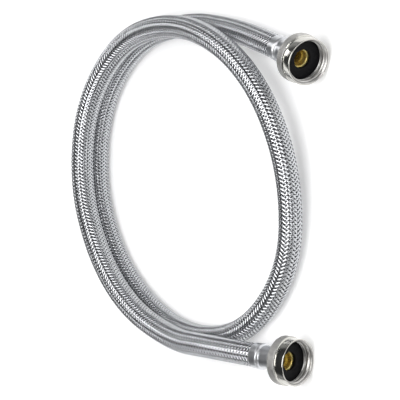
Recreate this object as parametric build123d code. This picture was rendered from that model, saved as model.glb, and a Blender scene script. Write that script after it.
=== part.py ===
"""Stainless braided supply hose with a swivelling hose-thread nut at each end, lying in loose turns.

Millimetres, +Z up, standing on z = 0. The coil's axis is +Z. Each end is built in its own frame, whose origin is
where the braid enters the ferrule and whose +Z points out through the nut's mouth.
"""

from build123d import *
import math
import os

# Hose, radii from the bore outwards.
BORE_R = 4.75
TUBE_R = 6.5
REINFORCEMENT_R = 7.0
HOSE_R = 7.7

# Coil: an oval that wanders a little, with its second turn lying on its first.
COIL_CENTRE = (9.3, 8.4)
COIL_R = 106.6
COIL_OVAL = 8.0
OVAL_DIRECTION = 47.0
STATION_STEP = 30
WANDER = [-1.6, 0, 0.5, 0.5, 0.5, 0, 0, 2, 0.5, -1, 3, 1.5, -2, -2.2, -2.8, -3.4, -2.2, 0, 0]
CLIMB_START = 225.0
CLIMB_END = 322.0
LAYER_RISE = 2 * HOSE_R + 0.5

# Ends: where the braid enters each ferrule, and how far its nut's axis turns and tips.
END_A_XY = (91.4, -83.3)
END_B_XY = (-102.2, -69.8)
HEADING_A = -108.8
HEADING_B = -94.5
TIP_A = 6.0
TIP_B = -6.6
INSERTED = 6.2
STRAIGHT = 16.0

# Route between each end's straight stretch and the coil.
TAIL_A = (105.7, -37.1, HOSE_R + 1.2)
TAIL_B = (-98.7, -25.6, HOSE_R + LAYER_RISE)

# Fittings, along each end's own axis.
FERRULE_R = 8.2
FERRULE_SLEEVE = 5.2
SHOULDER_RISE = 0.2
GROOVE_DEPTH = 0.35
NECK_R = 7.35
NECK_END = 21.6
COLLAR_R = 5.6
SHANK_R = 6.0
RUNNING_GAP = 0.1
BARB_BORE_R = 3.2
STEM_BORE_R = 4.1
STEM_MOUTH_R = 4.9
MOUTH_DEPTH = 3.6
BORE_TAPER = 0.8
BARB_ROOT_R = 4.3
BARB_PITCH = 4.0
BARB_TIP = -6.0
FLANGE_R = 10.5
FLANGE_START = 24.4
FLANGE_END = 25.5

NUT_R = 15.6
NUT_FRONT_R = 14.9
NUT_START = 22.0
NUT_LENGTH = 13.0
NUT_END = NUT_START + NUT_LENGTH
NUT_WALL = 2.1
KNURL_LENGTH = 6.1
THREAD_R = 12.35
SEAT_R = 12.9
MOUTH_R = 13.9
LEAD_IN = 1.0
WASHER_START = 25.8
WASHER_END = 28.1
WASHER_HOLE_R = 5.8
SEAT_END = 28.4
EDGE = 0.5


def end_frame(xy, heading, tip, resting_z, resting_offset):
    """The plane at a ferrule's mouth, whose z direction is the nut's axis; the nut's rim rests on the floor."""
    flat = math.cos(math.radians(tip))
    axis = Vector(
        flat * math.cos(math.radians(heading)),
        flat * math.sin(math.radians(heading)),
        math.sin(math.radians(tip)),
    )
    z = resting_z * flat - resting_offset * math.sin(math.radians(tip))
    return Plane(origin=(xy[0], xy[1], z), x_dir=Vector(0, 0, 1).cross(axis), z_dir=axis)


def along(frame, distance):
    """The point at a distance along an end's axis."""
    return frame.origin + frame.z_dir * distance


def smooth(t):
    """A level start and end between 0 and 1."""
    t = min(max(t, 0.0), 1.0)
    return t * t * (3 - 2 * t)


def coil_station(index):
    """One route point of the coil."""
    angle = index * STATION_STEP
    radius = COIL_R + COIL_OVAL * math.cos(math.radians(2 * (angle - OVAL_DIRECTION))) + WANDER[index]
    climb = smooth((angle - CLIMB_START) / (CLIMB_END - CLIMB_START))
    return Vector(
        COIL_CENTRE[0] + radius * math.cos(math.radians(angle)),
        COIL_CENTRE[1] + radius * math.sin(math.radians(angle)),
        HOSE_R + LAYER_RISE * climb,
    )


def route_points(end_a, end_b):
    """The hose's route, from inside ferrule A round the coil to inside ferrule B."""
    points = [along(end_a, INSERTED), along(end_a, -STRAIGHT), Vector(*TAIL_A)]
    points += [coil_station(i) for i in range(len(WANDER))]
    points += [Vector(*TAIL_B), along(end_b, -STRAIGHT), along(end_b, INSERTED)]
    return points


def arc_radii(points):
    """The largest tangent arc that each corner's two runs allow."""
    radii = []
    for before, corner, after in zip(points, points[1:], points[2:]):
        turn = math.radians((corner - before).get_angle(after - corner))
        shorter = min((corner - before).length, (after - corner).length)
        radii.append(0.45 * shorter / math.tan(turn / 2))
    return radii


def hose_layer(path, inner_r, outer_r):
    """One layer of the hose's wall along the whole route."""
    start = Plane(origin=path @ 0, z_dir=path % 0)
    section = start * (Circle(outer_r) - Circle(inner_r))
    return sweep(section, path=path)


def turned(outline):
    """A solid of revolution about the end's axis from (radius, height) points."""
    face = make_face(Plane.XZ * Polyline(*outline, close=True))
    return revolve(face, axis=Axis.Z)


def ferrule():
    """Crimped sleeve over the braid, with a rolled shoulder, a groove and a long neck clamped on the stem."""
    return turned([
        (HOSE_R, 0),
        (FERRULE_R - 0.25, 0),
        (FERRULE_R, 0.4),
        (FERRULE_R, FERRULE_SLEEVE),
        (FERRULE_R + SHOULDER_RISE, FERRULE_SLEEVE + 0.4),
        (FERRULE_R + SHOULDER_RISE, FERRULE_SLEEVE + 1.0),
        (FERRULE_R - 0.3, FERRULE_SLEEVE + 1.6),
        (NECK_R - GROOVE_DEPTH, FERRULE_SLEEVE + 2.1),
        (NECK_R - GROOVE_DEPTH, FERRULE_SLEEVE + 2.7),
        (NECK_R, FERRULE_SLEEVE + 3.1),
        (NECK_R, NECK_END - 0.3),
        (NECK_R - 0.3, NECK_END),
        (COLLAR_R, NECK_END),
        (COLLAR_R, INSERTED),
        (HOSE_R, INSERTED),
    ])


def stem():
    """Barbed brass stem: barbs in the hose, a collar in the ferrule, a shank, a flange and a stepped bore."""
    barbs = []
    z = BARB_TIP
    while z + BARB_PITCH <= INSERTED:
        barbs += [(BARB_ROOT_R, z), (BORE_R, z + 0.7 * BARB_PITCH), (BARB_ROOT_R, z + 0.8 * BARB_PITCH)]
        z += BARB_PITCH
    shoulder = FLANGE_END - MOUTH_DEPTH
    return turned([
        (BARB_BORE_R, BARB_TIP),
        *barbs,
        (BARB_ROOT_R, INSERTED),
        (COLLAR_R, INSERTED),
        (COLLAR_R, NECK_END),
        (SHANK_R, NECK_END),
        (SHANK_R, FLANGE_START),
        (FLANGE_R, FLANGE_START),
        (FLANGE_R, FLANGE_END),
        (STEM_MOUTH_R + EDGE, FLANGE_END),
        (STEM_MOUTH_R, FLANGE_END - EDGE),
        (STEM_MOUTH_R, shoulder),
        (STEM_BORE_R, shoulder - BORE_TAPER),
        (STEM_BORE_R, INSERTED + BORE_TAPER),
        (BARB_BORE_R, INSERTED),
    ])


def nut():
    """Swivel nut: a knurled ring behind, a smooth ring in front, and the bore that carries the hose thread."""
    groove = NUT_START + KNURL_LENGTH
    return turned([
        (SHANK_R + RUNNING_GAP, NUT_START),
        (NUT_R - 0.8, NUT_START),
        (NUT_R, NUT_START + 0.8),
        (NUT_R, groove),
        (NUT_FRONT_R - 0.4, groove + 0.3),
        (NUT_FRONT_R - 0.4, groove + 0.7),
        (NUT_FRONT_R, groove + 1.1),
        (NUT_FRONT_R, NUT_END - EDGE),
        (NUT_FRONT_R - EDGE, NUT_END),
        (MOUTH_R, NUT_END),
        (THREAD_R, NUT_END - LEAD_IN),
        (THREAD_R, SEAT_END),
        (SEAT_R, SEAT_END),
        (SEAT_R, NUT_START + NUT_WALL),
        (SHANK_R + RUNNING_GAP, NUT_START + NUT_WALL),
    ])


def washer():
    """Flat rubber washer held in the nut's seat behind its thread."""
    return turned([
        (WASHER_HOLE_R, WASHER_START),
        (SEAT_R, WASHER_START),
        (SEAT_R, WASHER_END),
        (WASHER_HOLE_R, WASHER_END),
    ])


end_a = end_frame(END_A_XY, HEADING_A, TIP_A, NUT_R, NUT_START + 0.8)
end_b = end_frame(END_B_XY, HEADING_B, TIP_B, NUT_FRONT_R, NUT_END - EDGE)
points = route_points(end_a, end_b)
radii = arc_radii(points)
path = FilletPolyline(*points, radius=radii)

nodes = {
    "inner_tube": hose_layer(path, BORE_R, TUBE_R),
    "fibre_reinforcement": hose_layer(path, TUBE_R, REINFORCEMENT_R),
    "steel_braid": hose_layer(path, REINFORCEMENT_R, HOSE_R),
}
for letter, frame in (("a", end_a), ("b", end_b)):
    nodes["ferrule_" + letter] = frame.location * ferrule()
    nodes["barbed_stem_" + letter] = frame.location * stem()
    nodes["swivel_nut_" + letter] = frame.location * nut()
    nodes["washer_" + letter] = frame.location * washer()

os.makedirs("parts", exist_ok=True)
for name, solid in nodes.items():
    solid.label = name
    export_step(solid, f"parts/{name}.step")

runs = [(b - a).length for a, b in zip(points, points[1:])]
wall_area = math.pi * (HOSE_R**2 - REINFORCEMENT_R**2)
print("route radii", [round(r) for r in radii])
print("runs", [round(r, 1) for r in runs])
print("path length", round(path.length, 1))
print("braid volume over section times length", nodes["steel_braid"].volume / (wall_area * path.length))
for letter, frame in (("a", end_a), ("b", end_b)):
    thread_middle = along(frame, (SEAT_END + NUT_END - LEAD_IN) / 2)
    print("end", letter, "origin", frame.origin, "axis", frame.z_dir, "thread middle", thread_middle)
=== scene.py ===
"""The looks of a stainless braided supply hose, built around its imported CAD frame. Metres, +Z up."""

import math

import bpy
import numpy as np
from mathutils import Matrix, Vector


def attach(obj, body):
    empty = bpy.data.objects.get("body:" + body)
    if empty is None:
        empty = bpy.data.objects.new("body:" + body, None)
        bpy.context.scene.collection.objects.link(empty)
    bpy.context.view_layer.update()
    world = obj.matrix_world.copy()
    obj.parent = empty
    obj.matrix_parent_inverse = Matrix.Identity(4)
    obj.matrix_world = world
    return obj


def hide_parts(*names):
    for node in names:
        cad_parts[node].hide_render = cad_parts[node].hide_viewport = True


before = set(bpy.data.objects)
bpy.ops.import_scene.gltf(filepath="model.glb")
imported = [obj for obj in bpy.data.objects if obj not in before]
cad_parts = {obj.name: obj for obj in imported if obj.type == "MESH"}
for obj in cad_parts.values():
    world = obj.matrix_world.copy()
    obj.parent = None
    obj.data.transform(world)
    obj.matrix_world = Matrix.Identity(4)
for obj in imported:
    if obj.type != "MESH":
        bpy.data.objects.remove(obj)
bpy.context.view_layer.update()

MM = 0.001

# Hose and its route, as in the CAD part.
BORE_R = 4.75 * MM
TUBE_OUTER_R = 6.85 * MM
HOSE_R = 7.7 * MM
COIL_CENTRE = (9.3 * MM, 8.4 * MM)
COIL_R = 106.6 * MM
COIL_OVAL = 8.0 * MM
OVAL_DIRECTION = 47.0
STATION_STEP = 30
WANDER = [-1.6, 0, 0.5, 0.5, 0.5, 0, 0, 2, 0.5, -1, 3, 1.5, -2, -2.2, -2.8, -3.4, -2.2, 0, 0]
CLIMB_START = 225.0
CLIMB_END = 322.0
LAYER_RISE = 2 * HOSE_R + 0.5 * MM
END_A_XY = (91.4 * MM, -83.3 * MM)
END_B_XY = (-102.2 * MM, -69.8 * MM)
HEADING_A = -108.8
HEADING_B = -94.5
TIP_A = 6.0
TIP_B = -6.6
INSERTED = 6.2 * MM
STRAIGHT = 16.0 * MM
TAIL_A = (105.7 * MM, -37.1 * MM, HOSE_R + 1.2 * MM)
TAIL_B = (-98.7 * MM, -25.6 * MM, HOSE_R + LAYER_RISE)
SPLINE_STEPS = 48

# Fittings, along each end's own axis from where the braid enters the ferrule.
FERRULE_R = 8.2 * MM
FERRULE_SLEEVE = 5.2 * MM
SHOULDER_RISE = 0.2 * MM
GROOVE_DEPTH = 0.35 * MM
NECK_R = 7.35 * MM
NECK_END = 21.6 * MM
COLLAR_R = 5.6 * MM
SHANK_R = 6.0 * MM
RUNNING_GAP = 0.1 * MM
BARB_BORE_R = 3.2 * MM
STEM_BORE_R = 4.1 * MM
STEM_MOUTH_R = 4.9 * MM
MOUTH_DEPTH = 3.6 * MM
BORE_TAPER = 0.8 * MM
BARB_ROOT_R = 4.3 * MM
BARB_PITCH = 4.0 * MM
BARB_TIP = -6.0 * MM
FLANGE_R = 10.5 * MM
FLANGE_START = 24.4 * MM
FLANGE_END = 25.5 * MM
NUT_R = 15.6 * MM
NUT_FRONT_R = 14.9 * MM
NUT_START = 22.0 * MM
NUT_END = 35.0 * MM
NUT_WALL = 2.1 * MM
KNURL_LENGTH = 6.1 * MM
SEAT_R = 12.9 * MM
SEAT_END = 28.4 * MM
EDGE = 0.5 * MM
WASHER_START = 25.8 * MM
WASHER_END = 28.1 * MM
WASHER_HOLE_R = 5.8 * MM

# Hose thread. Its root and flank widths are shares of the pitch. The last three are depths inside the mouth:
# where the chamfer ends, where the crests start to rise and where they are full.
THREAD_CREST_R = 12.35 * MM
THREAD_ROOT_R = 13.55 * MM
THREAD_PITCH = 2.209 * MM
ROOT_HALF_WIDTH = 0.1
FLANK_WIDTH = 0.28
MOUTH_R = 14.45 * MM
CHAMFER_R = 13.95 * MM
MOUTH_CHAMFER = 0.35 * MM
THREAD_START = 0.8 * MM
LEAD_IN = 3.0 * MM

# Braid: flat bundles of wires wound each way, each passing over two and under two of the others.
BUNDLES = 12
GROUPS = 4
CROSSINGS_PER_WAVE = 4
BRAID_LEAD = 30.6 * MM
BRAID_MARGIN = 0.5 * MM
WIRES = 5
WIRE_WIDTH = 0.25 * MM
WIRE_SHOULDER = 0.06 * MM
WIRE_DEPTH = 0.05 * MM
CROWN = 0.28 * MM
WEAVE = 0.30 * MM
BRAID_MIDDLE_R = 7.22 * MM
STEPS_PER_CROSSING = 2.0

# Knurl on each nut's rear ring.
KNURLS = 84
KNURL_DEPTH = 0.22 * MM
KNURL_SLANT = 0.55
KNURL_CURVE = 0.7

# Fineness of the meshes.
TURNED_SIDES = 128
FERRULE_SIDES = 160
NUT_SIDES = 6 * KNURLS
KNURL_ROWS = 40
THREAD_ROWS = 84
TUBE_SIDES = 48
TUBE_ROWS = 700

# The shortest edges that get rounded corners, and the tool's marks on turned faces.
SHORTEST_ROUNDED = 0.3 * MM
MARK_PITCH = 0.2 * MM
MARK_DEPTH = 0.01 * MM
BORE_PITCH = 0.25 * MM
BORE_DEPTH = 0.05 * MM


def end_frame(exit_point, heading, tip):
    """An end's place, axis and two cross directions."""
    flat = math.cos(math.radians(tip))
    axis = np.array([
        flat * math.cos(math.radians(heading)),
        flat * math.sin(math.radians(heading)),
        math.sin(math.radians(tip)),
    ])
    across = np.cross([0, 0, 1], axis)
    across /= np.linalg.norm(across)
    return np.array(exit_point), axis, across, np.cross(axis, across)


def resting_height(rim_r, rim_offset, tip):
    """How high an end's origin is when its nut's rim rests on the floor."""
    angle = math.radians(tip)
    return rim_r * math.cos(angle) - rim_offset * math.sin(angle)


HEIGHT_A = resting_height(NUT_R, NUT_START + 0.8 * MM, TIP_A)
HEIGHT_B = resting_height(NUT_FRONT_R, NUT_END - EDGE, TIP_B)
END_A = end_frame((*END_A_XY, HEIGHT_A), HEADING_A, TIP_A)
END_B = end_frame((*END_B_XY, HEIGHT_B), HEADING_B, TIP_B)


# ---------------------------------------------------------------- route

def smooth(t):
    """A level start and end between 0 and 1."""
    t = min(max(t, 0.0), 1.0)
    return t * t * (3 - 2 * t)


def coil_station(index):
    """One route point of the coil."""
    angle = index * STATION_STEP
    oval = COIL_OVAL * math.cos(math.radians(2 * (angle - OVAL_DIRECTION)))
    radius = COIL_R + oval + WANDER[index] * MM
    climb = smooth((angle - CLIMB_START) / (CLIMB_END - CLIMB_START))
    return (
        COIL_CENTRE[0] + radius * math.cos(math.radians(angle)),
        COIL_CENTRE[1] + radius * math.sin(math.radians(angle)),
        HOSE_R + LAYER_RISE * climb,
    )


def along(end, distance):
    """The point at a distance along an end's axis."""
    return tuple(end[0] + end[1] * distance)


def route_points():
    """The hose's route, from inside ferrule A round the coil to inside ferrule B."""
    points = [along(END_A, INSERTED), along(END_A, -STRAIGHT), TAIL_A]
    points += [coil_station(i) for i in range(len(WANDER))]
    points += [TAIL_B, along(END_B, -STRAIGHT), along(END_B, INSERTED)]
    return points


def smooth_route():
    """Close points along the route's NURBS spline."""
    curve = bpy.data.curves.new("hose_route", "CURVE")
    curve.dimensions = "3D"
    spline = curve.splines.new("NURBS")
    points = route_points()
    spline.points.add(len(points) - 1)
    for target, point in zip(spline.points, points):
        target.co = (*point, 1.0)
    spline.order_u = 3
    spline.use_endpoint_u = True
    spline.resolution_u = SPLINE_STEPS
    holder = bpy.data.objects.new("hose_route", curve)
    mesh = bpy.data.meshes.new_from_object(holder)
    line = np.empty(len(mesh.vertices) * 3)
    mesh.vertices.foreach_get("co", line)
    bpy.data.objects.remove(holder)
    bpy.data.meshes.remove(mesh)
    return line.reshape(-1, 3)


class Route:
    """A centreline with a cross frame that never twists, read at any distance along it."""

    def __init__(self, line):
        self.line = line
        steps = np.linalg.norm(np.diff(line, axis=0), axis=1)
        self.distance = np.concatenate([[0.0], np.cumsum(steps)])
        self.length = self.distance[-1]
        tangent = np.gradient(line, self.distance, axis=0)
        tangent /= np.linalg.norm(tangent, axis=1)[:, None]
        normal = np.empty_like(line)
        side = np.cross([0.0, 0.0, 1.0], tangent[0])
        for i, t in enumerate(tangent):
            side = side - t * side.dot(t)
            side /= np.linalg.norm(side)
            normal[i] = side
        self.normal = normal
        self.binormal = np.cross(tangent, normal)

    def read(self, values, s):
        """One of the frame's vectors at distances s."""
        return np.stack([np.interp(s, self.distance, values[:, k]) for k in range(3)], axis=-1)

    def surface(self, s, angle, radius):
        """Points at an angle and radius around the centreline, at distances s."""
        centre = self.read(self.line, s)
        normal = self.read(self.normal, s)
        binormal = self.read(self.binormal, s)
        out = np.cos(angle)[..., None] * normal + np.sin(angle)[..., None] * binormal
        return centre + radius[..., None] * out


# ---------------------------------------------------------------- meshes

def new_mesh(name, vertices, quads, caps, material):
    """A smooth-shaded mesh object from points, an array of quads and a list of end faces."""
    vertices = np.asarray(vertices, np.float32).reshape(-1, 3)
    sizes = np.concatenate([np.full(len(quads), 4), [len(cap) for cap in caps]]).astype(np.int32)
    corners = np.concatenate([quads.ravel(), *caps]).astype(np.int32)
    mesh = bpy.data.meshes.new(name)
    mesh.vertices.add(len(vertices))
    mesh.vertices.foreach_set("co", vertices.ravel())
    mesh.loops.add(len(corners))
    mesh.loops.foreach_set("vertex_index", corners)
    mesh.polygons.add(len(sizes))
    mesh.polygons.foreach_set("loop_start", (np.cumsum(sizes) - sizes).astype(np.int32))
    mesh.update(calc_edges=True)
    mesh.polygons.foreach_set("use_smooth", np.full(len(sizes), True))
    mesh.materials.append(material)
    thing = bpy.data.objects.new(name, mesh)
    bpy.context.scene.collection.objects.link(thing)
    return thing


def grid_quads(rows, columns, first=0, closed_rows=False):
    """Quads of a grid whose columns close on themselves, and whose rows may too."""
    row = np.arange(rows if closed_rows else rows - 1)[:, None]
    column = np.arange(columns)[None, :]
    next_row = (row + 1) % rows
    next_column = (column + 1) % columns
    quads = np.stack([
        row * columns + column,
        row * columns + next_column,
        next_row * columns + next_column,
        next_row * columns + column,
    ], axis=-1)
    return quads.reshape(-1, 4) + first


def bundle_section():
    """Cross offsets and heights of one bundle: crowned wires side by side, with grooves between."""
    edges = (np.arange(WIRES + 1) - WIRES / 2) * WIRE_WIDTH
    across = [edges[0]]
    groove = [1]
    for left, right in zip(edges, edges[1:]):
        across += [left + WIRE_SHOULDER, right - WIRE_SHOULDER, right]
        groove += [0, 0, 1]
    across = np.array(across)
    height = CROWN * (1 - (2 * across / (WIRES * WIRE_WIDTH)) ** 2) - WIRE_DEPTH * np.array(groove)
    height[0] = height[-1] = -2 * WIRE_DEPTH
    return across, height


def braid_bundle(route, index, turning):
    """Points of one bundle along the hose, as rows of its cross-section."""
    start = BRAID_MARGIN
    end = route.length - start
    crossing = BRAID_LEAD / (2 * BUNDLES)
    s = np.linspace(start, end, int((end - start) / crossing * STEPS_PER_CROSSING))
    phase = turning * (2 * index) + s / crossing - turning * 0.5
    wave = turning * np.cos(math.tau * phase / CROSSINGS_PER_WAVE)
    slope = math.atan(math.tau * BRAID_MIDDLE_R / BRAID_LEAD)
    across, height = bundle_section()
    s_here = np.clip(s[:, None] - turning * across[None, :] * math.sin(slope), start, end)
    turn = math.tau * (turning * s[:, None] / BRAID_LEAD + index / BUNDLES)
    turn = turn + across[None, :] * math.cos(slope) / BRAID_MIDDLE_R
    radius = BRAID_MIDDLE_R + WEAVE * wave[:, None] + height[None, :]
    return route.surface(s_here, turn, radius)


def braid_group(name, route, turning, indices, material):
    """Some of the bundles that wind one way, as closed ribbons of wires."""
    vertices = []
    quads = []
    caps = []
    first = 0
    for index in indices:
        rows = braid_bundle(route, index, turning)
        count, columns = rows.shape[:2]
        vertices.append(rows.reshape(-1, 3))
        quads.append(grid_quads(count, columns, first))
        last = first + (count - 1) * columns
        caps.append(np.arange(first, first + columns)[::-1])
        caps.append(np.arange(last, last + columns))
        first += count * columns
    return new_mesh(name, np.concatenate(vertices), np.concatenate(quads), caps, material)


def placed(end, radius, angle, height):
    """Points in the row frame from cylinder coordinates about an end's axis."""
    origin, axis, across, up = end
    out = np.cos(angle)[..., None] * across + np.sin(angle)[..., None] * up
    return origin + height[..., None] * axis + radius[..., None] * out


def rounded(outline, reach=0.18 * MM, parts=3):
    """A closed outline with each corner between long edges replaced by a short curve."""
    points = [np.array(p, float) for p in outline]
    result = []
    for before, corner, after in zip(points[-1:] + points[:-1], points, points[1:] + points[:1]):
        back = np.linalg.norm(before - corner)
        ahead = np.linalg.norm(after - corner)
        if min(back, ahead) < SHORTEST_ROUNDED:
            result.append(corner)
            continue
        cut = min(reach, 0.4 * back, 0.4 * ahead)
        a = corner + (before - corner) / back * cut
        b = corner + (after - corner) / ahead * cut
        for t in np.linspace(0, 1, parts):
            result.append((1 - t) ** 2 * a + 2 * t * (1 - t) * corner + t * t * b)
    return np.array(result)


def turned_face(radius, start, end, pitch=MARK_PITCH, depth=MARK_DEPTH):
    """Outline points of a straight turned face, with the tool's fine ridges."""
    heights = np.linspace(start, end, round(abs(end - start) / pitch))
    return [(radius - depth * (i % 2), z) for i, z in enumerate(heights)]


def lathe(name, end, outline, material, sides=TURNED_SIDES, relief=None):
    """A closed ring turned about an end's axis. relief(angle, radius, height) gives the cut radius."""
    angle = np.repeat(np.arange(sides)[None, :] * math.tau / sides, len(outline), axis=0)
    radius = np.repeat(outline[:, 0, None], sides, axis=1)
    height = np.repeat(outline[:, 1, None], sides, axis=1)
    if relief is not None:
        radius = relief(angle, radius, height)
    points = placed(end, radius, angle, height)
    return new_mesh(name, points, grid_quads(len(outline), sides, closed_rows=True), [], material)


def thread_radius(angle, height):
    """Wall radius of the right-handed female hose thread, whose crests rise from the mouth's chamfer."""
    phase = (height / THREAD_PITCH - angle / math.tau) % 1.0
    ramp = np.clip((np.abs(phase - 0.5) - ROOT_HALF_WIDTH) / FLANK_WIDTH, 0.0, 1.0)
    depth = THREAD_ROOT_R - THREAD_CREST_R
    thread = THREAD_CREST_R + depth * (1 - ramp * ramp * (3 - 2 * ramp))
    deep = [0.0, MOUTH_CHAMFER, THREAD_START, LEAD_IN]
    mouth = np.interp(NUT_END - height, deep, [MOUTH_R, CHAMFER_R, THREAD_ROOT_R, THREAD_CREST_R])
    fade = np.clip((height - SEAT_END) / (0.5 * THREAD_PITCH), 0.0, 1.0)
    thread = SEAT_R + (thread - SEAT_R) * fade
    return np.maximum(thread, mouth)


def knurl_radius(angle, height):
    """The rear ring's surface, cut by grooves that slant both ways."""
    lean = height / NUT_R * KNURL_SLANT
    left = np.abs(np.sin(KNURLS / 2 * (angle + lean)))
    right = np.abs(np.sin(KNURLS / 2 * (angle - lean)))
    return NUT_R - KNURL_DEPTH * (1.0 - np.minimum(left, right) ** KNURL_CURVE)


def nut_relief(angle, radius, height):
    """Cuts the knurl into the rear ring and the thread into the bore."""
    radius = np.where(np.isclose(radius, NUT_R), knurl_radius(angle, height), radius)
    return np.where(np.isclose(radius, THREAD_CREST_R), thread_radius(angle, height), radius)


def nut(name, end, plate, matte_plate):
    """Swivel nut: knurled rear ring, groove, smooth front ring, threaded bore and back wall."""
    groove = NUT_START + KNURL_LENGTH
    outline = rounded([
        (SHANK_R + RUNNING_GAP, NUT_START + NUT_WALL),
        (SHANK_R + RUNNING_GAP, NUT_START),
        (NUT_R - 0.8 * MM, NUT_START),
        (NUT_R - KNURL_DEPTH, NUT_START + 0.6 * MM),
        *[(NUT_R, z) for z in np.linspace(NUT_START + 0.75 * MM, groove - 0.2 * MM, KNURL_ROWS)],
        (NUT_R - KNURL_DEPTH, groove - 0.05 * MM),
        (NUT_FRONT_R - 0.4 * MM, groove + 0.3 * MM),
        (NUT_FRONT_R - 0.4 * MM, groove + 0.75 * MM),
        (NUT_FRONT_R, groove + 1.1 * MM),
        (NUT_FRONT_R, NUT_END - 0.25 * MM),
        (NUT_FRONT_R - 0.2 * MM, NUT_END),
        (MOUTH_R, NUT_END),
        *[(THREAD_CREST_R, z) for z in np.linspace(NUT_END - 0.05 * MM, SEAT_END, THREAD_ROWS)],
        (SEAT_R, SEAT_END - 0.15 * MM),
        (SEAT_R, NUT_START + NUT_WALL),
    ], parts=4)
    ring = lathe(name, end, outline, plate, sides=NUT_SIDES, relief=nut_relief)
    ring.data.materials.append(matte_plate)
    cut = np.isclose(outline[:, 0], NUT_R) | np.isclose(outline[:, 0], THREAD_CREST_R)
    ring.data.polygons.foreach_set("material_index", np.repeat(cut, NUT_SIDES).astype(np.int32))
    return ring


def ferrule(name, end, material):
    """Crimped sleeve with a rolled shoulder, a groove and a finely turned neck."""
    sleeve = FERRULE_SLEEVE
    outline = rounded([
        (HOSE_R, 0.0),
        (FERRULE_R - 0.25 * MM, 0.0),
        (FERRULE_R, 0.4 * MM),
        *turned_face(FERRULE_R, 0.6 * MM, sleeve - 0.2 * MM),
        (FERRULE_R, sleeve),
        (FERRULE_R + SHOULDER_RISE, sleeve + 0.4 * MM),
        (FERRULE_R + SHOULDER_RISE, sleeve + 1.0 * MM),
        (FERRULE_R - 0.3 * MM, sleeve + 1.6 * MM),
        (NECK_R - GROOVE_DEPTH, sleeve + 2.1 * MM),
        (NECK_R - GROOVE_DEPTH, sleeve + 2.7 * MM),
        (NECK_R, sleeve + 3.1 * MM),
        *turned_face(NECK_R, sleeve + 3.3 * MM, NECK_END - 0.5 * MM),
        (NECK_R, NECK_END - 0.3 * MM),
        (NECK_R - 0.3 * MM, NECK_END),
        (COLLAR_R, NECK_END),
        (COLLAR_R, INSERTED),
        (HOSE_R, INSERTED),
    ], reach=0.5 * MM, parts=5)
    return lathe(name, end, outline, material, sides=FERRULE_SIDES)


def stem(name, end, material):
    """Barbed brass stem: barbs in the hose, a collar, a shank, a flange and a bore with the drill's marks."""
    barbs = []
    for z in np.arange(BARB_TIP, INSERTED - BARB_PITCH, BARB_PITCH):
        barbs += [(BARB_ROOT_R, z), (BORE_R, z + 0.7 * BARB_PITCH), (BARB_ROOT_R, z + 0.8 * BARB_PITCH)]
    shoulder = FLANGE_END - MOUTH_DEPTH
    outline = rounded([
        (BARB_BORE_R, BARB_TIP),
        *barbs,
        (BARB_ROOT_R, INSERTED),
        (COLLAR_R, INSERTED),
        (COLLAR_R, NECK_END),
        (SHANK_R, NECK_END),
        (SHANK_R, FLANGE_START),
        (FLANGE_R, FLANGE_START),
        (FLANGE_R, FLANGE_END),
        (STEM_MOUTH_R + EDGE, FLANGE_END),
        (STEM_MOUTH_R, FLANGE_END - EDGE),
        *turned_face(STEM_MOUTH_R, FLANGE_END - EDGE - BORE_PITCH, shoulder, BORE_PITCH, BORE_DEPTH),
        *turned_face(STEM_BORE_R, shoulder - BORE_TAPER, INSERTED + BORE_TAPER, BORE_PITCH, BORE_DEPTH),
        (BARB_BORE_R, INSERTED),
    ], parts=4)
    return lathe(name, end, outline, material)


def washer(name, end, material):
    """Rubber washer with soft edges."""
    outline = rounded([
        (WASHER_HOLE_R, WASHER_START),
        (SEAT_R - 0.02 * MM, WASHER_START),
        (SEAT_R - 0.02 * MM, WASHER_END),
        (WASHER_HOLE_R, WASHER_END),
    ], reach=0.6 * MM, parts=6)
    return lathe(name, end, outline, material)


def hose_tube(route, material):
    """The reinforced tube that shows between the braid's bundles, open at its bore."""
    s = np.repeat(np.linspace(0.0, route.length, TUBE_ROWS)[:, None], TUBE_SIDES, axis=1)
    angle = np.repeat(np.arange(TUBE_SIDES)[None, :] * math.tau / TUBE_SIDES, TUBE_ROWS, axis=0)
    outside = route.surface(s, angle, np.full(s.shape, TUBE_OUTER_R))
    inside = route.surface(s[::-1], angle, np.full(s.shape, BORE_R))
    rows = np.concatenate([outside, inside])
    quads = grid_quads(len(rows), TUBE_SIDES, closed_rows=True)
    return new_mesh("hose_tube", rows, quads, [], material)


# ---------------------------------------------------------------- materials

# The part of a noise texture's range that colours and gloss drift over, how much finer the gloss's patches
# are than the colour's, and the scale of every metal's grain.
NOISE_LOW = 0.3
NOISE_HIGH = 0.7
GLOSS_PATCHES = 2.3
GRAIN_SCALE = 1800.0


def material(name, colour, metallic, roughness):
    """A principled material and its node tree."""
    mat = bpy.data.materials.new(name)
    mat.use_nodes = True
    shader = mat.node_tree.nodes["Principled BSDF"]
    shader.inputs["Base Color"].default_value = (*colour, 1.0)
    shader.inputs["Metallic"].default_value = metallic
    shader.inputs["Roughness"].default_value = roughness
    return mat, mat.node_tree, shader


def noise(tree, scale):
    """A noise texture in object space."""
    where = tree.nodes.new("ShaderNodeTexCoord")
    texture = tree.nodes.new("ShaderNodeTexNoise")
    texture.inputs["Scale"].default_value = scale
    texture.inputs["Detail"].default_value = 3.0
    tree.links.new(where.outputs["Object"], texture.inputs["Vector"])
    return texture.outputs["Fac"]


def spread(tree, value, low, high):
    """A value that a texture drives between low and high."""
    node = tree.nodes.new("ShaderNodeMapRange")
    node.inputs["From Min"].default_value = NOISE_LOW
    node.inputs["From Max"].default_value = NOISE_HIGH
    node.inputs["To Min"].default_value = low
    node.inputs["To Max"].default_value = high
    tree.links.new(value, node.inputs["Value"])
    return node.outputs["Result"]


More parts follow.
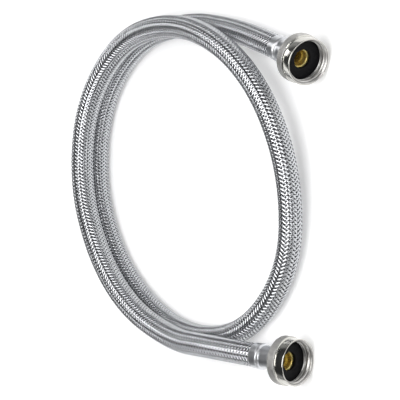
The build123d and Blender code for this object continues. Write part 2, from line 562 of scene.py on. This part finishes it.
def tint(tree, value, dark, light):
    """A colour that a texture drives between dark and light."""
    ramp = tree.nodes.new("ShaderNodeValToRGB")
    ramp.color_ramp.elements[0].position = NOISE_LOW
    ramp.color_ramp.elements[0].color = (*dark, 1.0)
    ramp.color_ramp.elements[1].position = NOISE_HIGH
    ramp.color_ramp.elements[1].color = (*light, 1.0)
    tree.links.new(value, ramp.inputs["Fac"])
    return ramp.outputs["Color"]


def bump(tree, shader, value, height):
    """Small relief from a texture."""
    node = tree.nodes.new("ShaderNodeBump")
    node.inputs["Strength"].default_value = 1.0
    node.inputs["Distance"].default_value = height
    tree.links.new(value, node.inputs["Height"])
    tree.links.new(node.outputs["Normal"], shader.inputs["Normal"])


def metal(name, dark, light, patch_scale, roughness, grain_height, metallic=1.0):
    """A metal whose colour and gloss drift between patches, over a fine grain."""
    middle = [(a + b) / 2 for a, b in zip(dark, light)]
    mat, tree, shader = material(name, middle, metallic, roughness[0])
    tree.links.new(tint(tree, noise(tree, patch_scale), dark, light), shader.inputs["Base Color"])
    gloss = spread(tree, noise(tree, GLOSS_PATCHES * patch_scale), *roughness)
    tree.links.new(gloss, shader.inputs["Roughness"])
    bump(tree, shader, noise(tree, GRAIN_SCALE), grain_height)
    return mat


def wire_steel():
    """Bright drawn stainless wire."""
    return metal("wire_steel", (0.53, 0.54, 0.56), (0.63, 0.64, 0.66), 300.0, (0.17, 0.25), 0.0005 * MM)


def ferrule_steel():
    """Polished stainless sleeve with a soft haze."""
    return metal("ferrule_steel", (0.63, 0.64, 0.66), (0.69, 0.70, 0.72), 160.0, (0.30, 0.36), 0.004 * MM)


def nickel():
    """Nickel plate, faintly warm."""
    return metal("nickel_plate", (0.55, 0.54, 0.50), (0.68, 0.67, 0.63), 140.0, (0.08, 0.18), 0.003 * MM)


def matte_nickel():
    """Nickel plate over the knurl and the thread, dulled by their fine cuts."""
    return metal("matte_nickel", (0.50, 0.49, 0.475), (0.64, 0.63, 0.61), 500.0, (0.32, 0.46), 0.01 * MM)


def turned_brass():
    """Yellow brass, whose tool marks scatter part of the light."""
    dark, light = (0.88, 0.67, 0.20), (0.99, 0.86, 0.36)
    return metal("turned_brass", dark, light, 260.0, (0.24, 0.36), 0.01 * MM, metallic=0.8)


def black_rubber():
    """Matte black rubber."""
    mat, tree, shader = material("black_rubber", (0.006, 0.006, 0.007), 0.0, 0.7)
    shader.inputs["Specular IOR Level"].default_value = 0.15
    speckle = tint(tree, noise(tree, 900.0), (0.002, 0.002, 0.003), (0.008, 0.008, 0.009))
    tree.links.new(speckle, shader.inputs["Base Color"])
    tree.links.new(spread(tree, noise(tree, 1400.0), 0.5, 0.75), shader.inputs["Roughness"])
    bump(tree, shader, noise(tree, 2600.0), 0.03 * MM)
    return mat


def dark_yarn():
    """The dull grey tube under the braid."""
    mat, tree, shader = material("yarn_and_tube", (0.03, 0.03, 0.033), 0.0, 0.8)
    fibres = tint(tree, noise(tree, 1500.0), (0.015, 0.016, 0.018), (0.05, 0.05, 0.055))
    tree.links.new(fibres, shader.inputs["Base Color"])
    bump(tree, shader, noise(tree, 2400.0), 0.05 * MM)
    return mat


def pale_floor():
    """Plain pale studio floor, lit a little from below."""
    mat, tree, shader = material("pale_floor", (0.9, 0.9, 0.9), 0.0, 0.6)
    shader.inputs["Emission Color"].default_value = (1.0, 1.0, 1.0, 1.0)
    shader.inputs["Emission Strength"].default_value = FLOOR_GLOW
    drift = tint(tree, noise(tree, 8.0), (0.89, 0.89, 0.89), (0.92, 0.92, 0.92))
    tree.links.new(drift, shader.inputs["Base Color"])
    return mat


# ---------------------------------------------------------------- camera, floor and light

CAMERA_ELEVATION = math.radians(39.5)
CAMERA_DISTANCE = 1.314
LENS_MM = 177.3
SENSOR_MM = 36.0
CENTRE_RIGHT = -0.23 * MM
CENTRE_UP = -13.6 * MM

# The floor's half-width and own light, and the room's brightness by the sine of the elevation.
FLOOR_REACH = 4.0
FLOOR_GLOW = 0.3
WALL_TOP = 0.2
DARK_FROM = 0.45
WALL_COLOUR = (0.3, 0.305, 0.31)
CEILING_COLOUR = (0.035, 0.036, 0.038)


def make_camera():
    """Looks along +Y from above at the coil, turned a quarter so that +X is up in the picture."""
    forward = np.array([0.0, math.cos(CAMERA_ELEVATION), -math.sin(CAMERA_ELEVATION)])
    right = np.array([0.0, -math.sin(CAMERA_ELEVATION), -math.cos(CAMERA_ELEVATION)])
    up = np.array([1.0, 0.0, 0.0])
    centre = np.array([*COIL_CENTRE, 0.0]) + CENTRE_RIGHT * right + CENTRE_UP * up
    place = centre - CAMERA_DISTANCE * forward
    data = bpy.data.cameras.new("camera")
    data.lens = LENS_MM
    data.sensor_width = SENSOR_MM
    camera = bpy.data.objects.new("camera", data)
    matrix = np.eye(4)
    matrix[:3, 0] = right
    matrix[:3, 1] = up
    matrix[:3, 2] = -forward
    matrix[:3, 3] = place
    camera.matrix_world = matrix.T.tolist()
    bpy.context.scene.collection.objects.link(camera)
    bpy.context.scene.camera = camera


def area_light(name, place, size, radiance, target=(0.0, 0.0, 0.0)):
    """A soft rectangular light of a given brightness, aimed at a point."""
    data = bpy.data.lights.new(name, "AREA")
    data.shape = "RECTANGLE"
    data.size = size[0]
    data.size_y = size[1]
    data.energy = radiance * math.pi * size[0] * size[1]
    lamp = bpy.data.objects.new(name, data)
    lamp.location = place
    lamp.rotation_euler = (Vector(target) - Vector(place)).to_track_quat("-Z", "Y").to_euler()
    bpy.context.scene.collection.objects.link(lamp)


def make_room():
    """A world that is pale round the horizon and dark above it, as in a studio with a low white wall."""
    world = bpy.data.worlds.new("room")
    world.use_nodes = True
    tree = world.node_tree
    where = tree.nodes.new("ShaderNodeTexCoord")
    parts = tree.nodes.new("ShaderNodeSeparateXYZ")
    ramp = tree.nodes.new("ShaderNodeValToRGB")
    ramp.color_ramp.interpolation = "EASE"
    ramp.color_ramp.elements[0].position = WALL_TOP
    ramp.color_ramp.elements[0].color = (*WALL_COLOUR, 1.0)
    ramp.color_ramp.elements[1].position = DARK_FROM
    ramp.color_ramp.elements[1].color = (*CEILING_COLOUR, 1.0)
    tree.links.new(where.outputs["Generated"], parts.inputs["Vector"])
    tree.links.new(parts.outputs["Z"], ramp.inputs["Fac"])
    tree.links.new(ramp.outputs["Color"], tree.nodes["Background"].inputs["Color"])
    bpy.context.scene.world = world


def make_studio():
    """Pale floor, a large overhead light, smaller lights behind, beside and in front, and the room."""
    mesh = bpy.data.meshes.new("floor")
    reach = FLOOR_REACH
    corners = [(-reach, -reach, 0), (reach, -reach, 0), (reach, reach, 0), (-reach, reach, 0)]
    mesh.from_pydata(corners, [], [(0, 1, 2, 3)])
    mesh.materials.append(pale_floor())
    floor = bpy.data.objects.new("floor", mesh)
    bpy.context.scene.collection.objects.link(floor)
    area_light("overhead", (0.0, -0.45, 1.3), (1.2, 1.3), 4.2, target=(0.0, -0.45, 0.0))
    area_light("back_right", (0.75, 1.25, 0.62), (0.45, 0.5), 3.5)
    area_light("back_wall", (0.0, 2.0, 0.35), (3.0, 0.6), 0.9)
    area_light("left_soft", (-1.3, 0.0, 0.7), (0.6, 0.6), 2.5)
    area_light("front_soft", (0.4, -1.6, 0.95), (0.5, 0.35), 6.0)
    make_room()
    bpy.context.scene.view_settings.view_transform = "Standard"


# ---------------------------------------------------------------- the object

make_camera()
make_studio()

route = Route(smooth_route())
print("hose length", route.length)

wire = wire_steel()
steel = ferrule_steel()
plate = nickel()
matte_plate = matte_nickel()
rubber = black_rubber()
brass = turned_brass()

tube = hose_tube(route, dark_yarn())
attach(tube, "hose")
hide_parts("fibre_reinforcement", "inner_tube")

for hand, turning in (("right", 1), ("left", -1)):
    for group in range(GROUPS):
        indices = range(group, BUNDLES, GROUPS)
        bundles = braid_group(f"braid_{hand}_{group + 1}", route, turning, indices, wire)
        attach(bundles, "hose")
        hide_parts("steel_braid")

# Each fitting's piece name, maker, finishes, body, CAD node and slot.
fittings = (
    ("turned_ferrule", ferrule, [steel], "hose", "ferrule", "ferrule"),
    ("turned_stem", stem, [brass], "hose", "barbed_stem", "brass"),
    ("threaded_nut", nut, [plate, matte_plate], "nut", "swivel_nut", "nut"),
    ("rubber_washer", washer, [rubber], "nut", "washer", "washer"),
)
pieces = {}
for letter, end in (("a", END_A), ("b", END_B)):
    pieces[letter] = []
    for name, make, finishes, body, node, slot in fittings:
        piece = make(f"{name}_{letter}", end, *finishes)
        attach(piece, body if body == "hose" else f"{body}_{letter}")
        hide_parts(f"{node}_{letter}")
        pieces[letter].append(piece)
